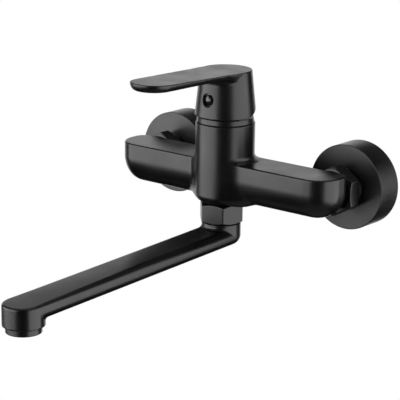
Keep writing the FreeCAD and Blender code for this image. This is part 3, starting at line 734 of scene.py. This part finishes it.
def spout_field(x, y, z):
    """Flat-topped spout: neck, rounded bar and outlet, with its waterway."""
    casting = bpy.context.scene.mixer_casting
    up = z - RISE
    run = y - np.clip(y, OUTLET_Y, SPOUT_Y)
    outline = np.hypot(x, run) - SPOUT_R
    top = SPOUT_TOP - SPOUT_FALL * (SPOUT_Y - y)
    bottom = SPOUT_BOTTOM - SPOUT_BOTTOM_FALL * (SPOUT_Y - y)
    share = (y - OUTLET_Y + SPOUT_R) / (SPOUT_Y - OUTLET_Y)
    share = np.sqrt(np.clip(share, SPOUT_MIN_SHARE, 1.0))
    crown = casting.spout_crown / MM * (CROWN_LEVEL - (x / SPOUT_R) ** 2) * share
    edge = SPOUT_TIP_EDGE_R + (casting.spout_edge / MM - SPOUT_TIP_EDGE_R) * share
    bar = oval_cut(outline, bottom - up, SPOUT_BELLY_R, SPOUT_BELLY_R)
    bar = round_cut(bar, up - top - crown, edge)
    neck = np.maximum(np.hypot(x, y - SPOUT_Y) - SPOUT_R, SPOUT_TOP - NECK_DEPTH - up)
    neck = round_cut(neck, up - NECK_TOP, CRISP_R)
    field = round_join(bar, neck, NECK_JOIN_R * ramp(SPOUT_Y - y, *NECK_FADE))
    boss = np.hypot(x, y - OUTLET_Y) - SPOUT_R
    boss = round_cut(boss, BOSS_BOTTOM - up, CRISP_R)
    boss = np.maximum(boss, up - BOSS_TOP)
    field = round_join(field, boss, BOSS_JOIN_R * ramp(y - OUTLET_Y, *BOSS_FADE))
    roof = top - WATERWAY_ROOF
    waterway = np.maximum(outline + SPOUT_R - WATERWAY_HALF, between(up, roof - WATERWAY_HEIGHT, roof))
    bores = (rod(x, y - SPOUT_Y, up, SPIGOT_BORE_R, *SPIGOT_BORE),
             rod(x, y - OUTLET_Y, up, OUTLET_BORE_R, *OUTLET_BORE))
    for cut in (waterway, *bores):
        field = np.maximum(field, -cut)
    return field


def spout_nut_field(x, y, z):
    """Hexagonal nut that holds the spout."""
    up = z - RISE
    aside = y - SPOUT_Y
    nut = hex_nut(x, aside, up, SPOUT_NUT_FLATS, SPOUT_NUT_TURN, *SPOUT_NUT)
    nut = np.maximum(nut, -rod(x, aside, up, SPOUT_NUT_LIP_R, *SPOUT_NUT_LIP))
    return np.maximum(nut, -rod(x, aside, up, NIPPLE_R, *SPOUT_NUT_THREAD))


def union_nut_field(inlet):
    """Hexagonal nut behind an arm, as a field."""
    def field(x, y, z):
        up = z - RISE
        nut = hex_nut(x - inlet, up, y, UNION_NUT_FLATS, 0.0, *UNION_NUT)
        nut = np.maximum(nut, -rod(x - inlet, up, y, UNION_NUT_LIP_R, *UNION_NUT_LIP))
        return np.maximum(nut, -rod(x - inlet, up, y, UNION_NUT_THREAD_R, *UNION_NUT_THREAD))
    return field


def union_field(inlet):
    """Eccentric union: two threads on parallel axes, joined by a leaning cone."""
    def field(x, y, z):
        aside = x - inlet
        share = np.clip((y - CONE[0]) / (CONE[1] - CONE[0]), 0.0, 1.0)
        centre = RISE * (1.0 - share)
        cone = np.hypot(aside, z - centre) - (CONE_FRONT_R - (CONE_FRONT_R - CONE_BACK_R) * share)
        cone = round_cut(cone * CONE_STEEPNESS, between(y, *CONE), CONE_EDGE_R)
        front = screw_thread(aside, z - RISE, -y, FRONT_THREAD_R, THREAD_PITCH, *FRONT_THREAD)
        back = screw_thread(aside, z, y, WALL_THREAD_R, THREAD_PITCH, *WALL_THREAD)
        union = np.minimum(cone, np.minimum(front, back))
        union = np.maximum(union, -rod(aside, z - RISE, y, FRONT_BORE_R, *FRONT_BORE))
        return np.maximum(union, -rod(aside, z, y, WALL_BORE_R, *WALL_BORE))
    return field


# ---------------------------------------------------------------- operators

def mm_box(node):
    """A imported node's box in millimetres, a little enlarged."""
    low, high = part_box(node)
    return ([v / MM - BOX_MARGIN for v in low], [v / MM + BOX_MARGIN for v in high])


class MIXER_OT_finishes(bpy.types.Operator):
    """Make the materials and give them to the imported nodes"""
    bl_idname = "mixer.finishes"
    bl_label = "Finishes"

    def execute(self, context):
        colors = context.scene.mixer_finish
        MATERIALS.update({
            "black_paint": paint_material(),
            "brass": metal_material("Machined Brass", colors.brass, 0.30, (0.05, 1.0, 0.05)),
            "coated_brass": coated_brass_material(colors.brass),
            "steel": metal_material("Stainless Steel", colors.steel, 0.25, (0.05, 1.0, 0.05)),
            "rubber": plastic_material("Seal Rubber", colors.rubber, 0.62, 0.0004, 0.00001, 0.35),
            "ceramic": plastic_material("Fired Ceramic", colors.ceramic, 0.16, 0.0003, 0.000002),
            "cartridge_plastic": plastic_material(
                "Cartridge Plastic", colors.cartridge, 0.42, 0.0005, 0.000006),
            "insert_plastic": plastic_material(
                "Insert Plastic", colors.insert, 0.34, 0.0005, 0.000004),
            "plug_plastic": plastic_material(
                "Gloss Plug Plastic", colors.plug, 0.24, 0.0006, 0.000002, 0.5, 0.3),
        })
        slots = {part["node"]: part["material_slot"] for part in frame["record"]["subparts"]}
        for name, item in frame["nodes"].items():
            item.data.materials.clear()
            finish = "coated_brass" if name in COATED_NODES else slots[name]
            item.data.materials.append(MATERIALS[finish])
        return {"FINISHED"}


class MIXER_OT_body(bpy.types.Operator):
    """Build the cast body with its two arms"""
    bl_idname = "mixer.body"
    bl_label = "Body"

    def execute(self, context):
        cell = context.scene.mixer_casting.coarse / MM
        mesh = mesh_of("body_casting", body_field, *mm_box("mixer_body"), cell)
        add_piece("body_casting", mesh, "body", "black_paint", MATERIALS["black_paint"], "mixer_body")
        return {"FINISHED"}


class MIXER_OT_lever(bpy.types.Operator):
    """Build the lever: cap and blade in one"""
    bl_idname = "mixer.lever"
    bl_label = "Lever"

    def execute(self, context):
        cell = context.scene.mixer_casting.fine / MM
        mesh = mesh_of("lever_shell", lever_field, *mm_box("lever_handle"), cell)
        add_piece("lever_shell", mesh, "lever", "black_paint", MATERIALS["black_paint"], "lever_handle")
        return {"FINISHED"}


class MIXER_OT_plug(bpy.types.Operator):
    """Build the domed plug over the handle's screw"""
    bl_idname = "mixer.plug"
    bl_label = "Index Plug"

    def execute(self, context):
        mesh = mesh_of("index_dome", plug_field, *mm_box("index_plug"), PLUG_CELL)
        add_piece("index_dome", mesh, "lever", "plug_plastic", MATERIALS["plug_plastic"], "index_plug")
        return {"FINISHED"}


class MIXER_OT_spout(bpy.types.Operator):
    """Build the swivelling spout"""
    bl_idname = "mixer.spout"
    bl_label = "Spout"

    def execute(self, context):
        cell = context.scene.mixer_casting.coarse / MM
        mesh = mesh_of("spout_tube", spout_field, *mm_box("swivel_spout"), cell)
        add_piece("spout_tube", mesh, "spout", "black_paint", MATERIALS["black_paint"], "swivel_spout")
        return {"FINISHED"}


class MIXER_OT_nuts(bpy.types.Operator):
    """Build the three hexagonal nuts"""
    bl_idname = "mixer.nuts"
    bl_label = "Nuts"

    def execute(self, context):
        cell = context.scene.mixer_casting.fine / MM
        nuts = [("spout_nut", spout_nut_field)]
        nuts += [("union_nut_" + side, union_nut_field(inlet)) for side, inlet in SIDES]
        for node, field in nuts:
            mesh = mesh_of(node + "_hex", field, *mm_box(node), cell)
            add_piece(node + "_hex", mesh, "body", "black_paint", MATERIALS["black_paint"], node)
        return {"FINISHED"}


class MIXER_OT_unions(bpy.types.Operator):
    """Build the two threaded eccentric unions"""
    bl_idname = "mixer.unions"
    bl_label = "Unions"

    def execute(self, context):
        for side, inlet in SIDES:
            node = "eccentric_union_" + side
            mesh = mesh_of(node + "_threaded", union_field(inlet), *mm_box(node), THREAD_CELL)
            add_piece(node + "_threaded", mesh, "body", "brass", MATERIALS["coated_brass"], node)
        return {"FINISHED"}


def direction(azimuth, elevation):
    """Unit vector towards a point seen at that azimuth and elevation, in degrees."""
    a, e = math.radians(azimuth), math.radians(elevation)
    return Vector((math.sin(a) * math.cos(e), -math.cos(a) * math.cos(e), math.sin(e)))


def add_softbox(scene, name, azimuth, elevation, distance, width, height, glow):
    """A soft panel that faces the mixer; glow is its brightness as seen from the mixer."""
    data = bpy.data.lights.new(name, "AREA")
    data.shape = "RECTANGLE"
    data.size = width
    data.size_y = height
    data.energy = glow * math.pi * width * height
    lamp = bpy.data.objects.new(name, data)
    towards = direction(azimuth, elevation)
    turn = towards.to_track_quat("Z", "Y").to_matrix().to_4x4()
    lamp.matrix_world = Matrix.Translation(STAGE_CENTRE + towards * distance) @ turn
    lamp.visible_camera = False
    scene.collection.objects.link(lamp)


def white_surroundings(scene):
    """White world that is seen by the camera but gives no light."""
    world = scene.world or bpy.data.worlds.new("World")
    scene.world = world
    world.use_nodes = True
    back = world.node_tree.nodes["Background"]
    back.inputs["Color"].default_value = (1.0, 1.0, 1.0, 1.0)
    back.inputs["Strength"].default_value = 1.0
    world.cycles_visibility.diffuse = False
    world.cycles_visibility.glossy = False


def floor_material():
    """Plain white floor."""
    material, _, shader = new_material("Floor White")
    shader.inputs["Base Color"].default_value = (0.0, 0.0, 0.0, 1.0)
    shader.inputs["Roughness"].default_value = 1.0
    shader.inputs["Specular IOR Level"].default_value = 0.0
    shader.inputs["Emission Color"].default_value = (1.0, 1.0, 1.0, 1.0)
    shader.inputs["Emission Strength"].default_value = 1.0
    return material


class MIXER_OT_stage(bpy.types.Operator):
    """Add the floor, the soft lights and the camera"""
    bl_idname = "mixer.stage"
    bl_label = "Stage"

    def execute(self, context):
        scene = context.scene
        stage = scene.mixer_stage
        floor_mesh = bpy.data.meshes.new("Floor")
        shape = bmesh.new()
        bmesh.ops.create_grid(shape, x_segments=8, y_segments=8, size=6.0)
        shape.to_mesh(floor_mesh)
        shape.free()
        floor = bpy.data.objects.new("Floor", floor_mesh)
        floor.location = (0, 0, -FLOOR_DROP)
        floor.visible_diffuse = False
        floor.visible_glossy = False
        floor.visible_shadow = False
        scene.collection.objects.link(floor)
        floor_mesh.materials.append(floor_material())
        white_surroundings(scene)
        for panel in SOFTBOXES:
            add_softbox(scene, *panel)

        back = direction(math.degrees(stage.azimuth), math.degrees(stage.elevation))
        right = Vector((math.cos(stage.azimuth), math.sin(stage.azimuth), 0))
        level = Matrix((right, back.cross(right), back)).transposed()
        data = bpy.data.cameras.new("Camera")
        data.lens = stage.lens
        data.sensor_width = 36.0
        data.clip_start = 0.05
        data.clip_end = 50.0
        camera = bpy.data.objects.new("Camera", data)
        turn = Matrix.Rotation(stage.roll, 3, "Z")
        camera.matrix_world = Matrix.Translation(Vector(stage.target) + back * stage.distance) \
            @ (level @ turn).to_4x4()
        scene.collection.objects.link(camera)
        scene.camera = camera
        scene.view_settings.view_transform = "Standard"
        return {"FINISHED"}


# ---------------------------------------------------------------- panel and registration

class MIXER_PT_panel(bpy.types.Panel):
    """Lists the steps that build the mixer"""
    bl_idname = "MIXER_PT_panel"
    bl_label = "Wall Mixer"
    bl_space_type = "VIEW_3D"
    bl_region_type = "UI"
    bl_category = "Wall Mixer"

    def draw(self, context):
        for step in STEPS:
            self.layout.operator(step.bl_idname)


GROUPS = (
    ("mixer_paint", MixerPaint),
    ("mixer_finish", MixerFinish),
    ("mixer_casting", MixerCasting),
    ("mixer_stage", MixerStage),
)
STEPS = (
    MIXER_OT_finishes,
    MIXER_OT_body,
    MIXER_OT_lever,
    MIXER_OT_plug,
    MIXER_OT_spout,
    MIXER_OT_nuts,
    MIXER_OT_unions,
    MIXER_OT_stage,
)
CLASSES = tuple(group for _, group in GROUPS) + STEPS + (MIXER_PT_panel,)


def register():
    for cls in CLASSES:
        bpy.utils.register_class(cls)
    for name, group in GROUPS:
        setattr(bpy.types.Scene, name, PointerProperty(type=group))


def unregister():
    for name, _ in GROUPS:
        delattr(bpy.types.Scene, name)
    for cls in reversed(CLASSES):
        bpy.utils.unregister_class(cls)


def run(step):
    """Calls one operator by its name."""
    group, name = step.bl_idname.split(".")
    getattr(getattr(bpy.ops, group), name)()


def main():
    register()
    for step in STEPS:
        run(step)


if __name__ == "__main__":
    main()
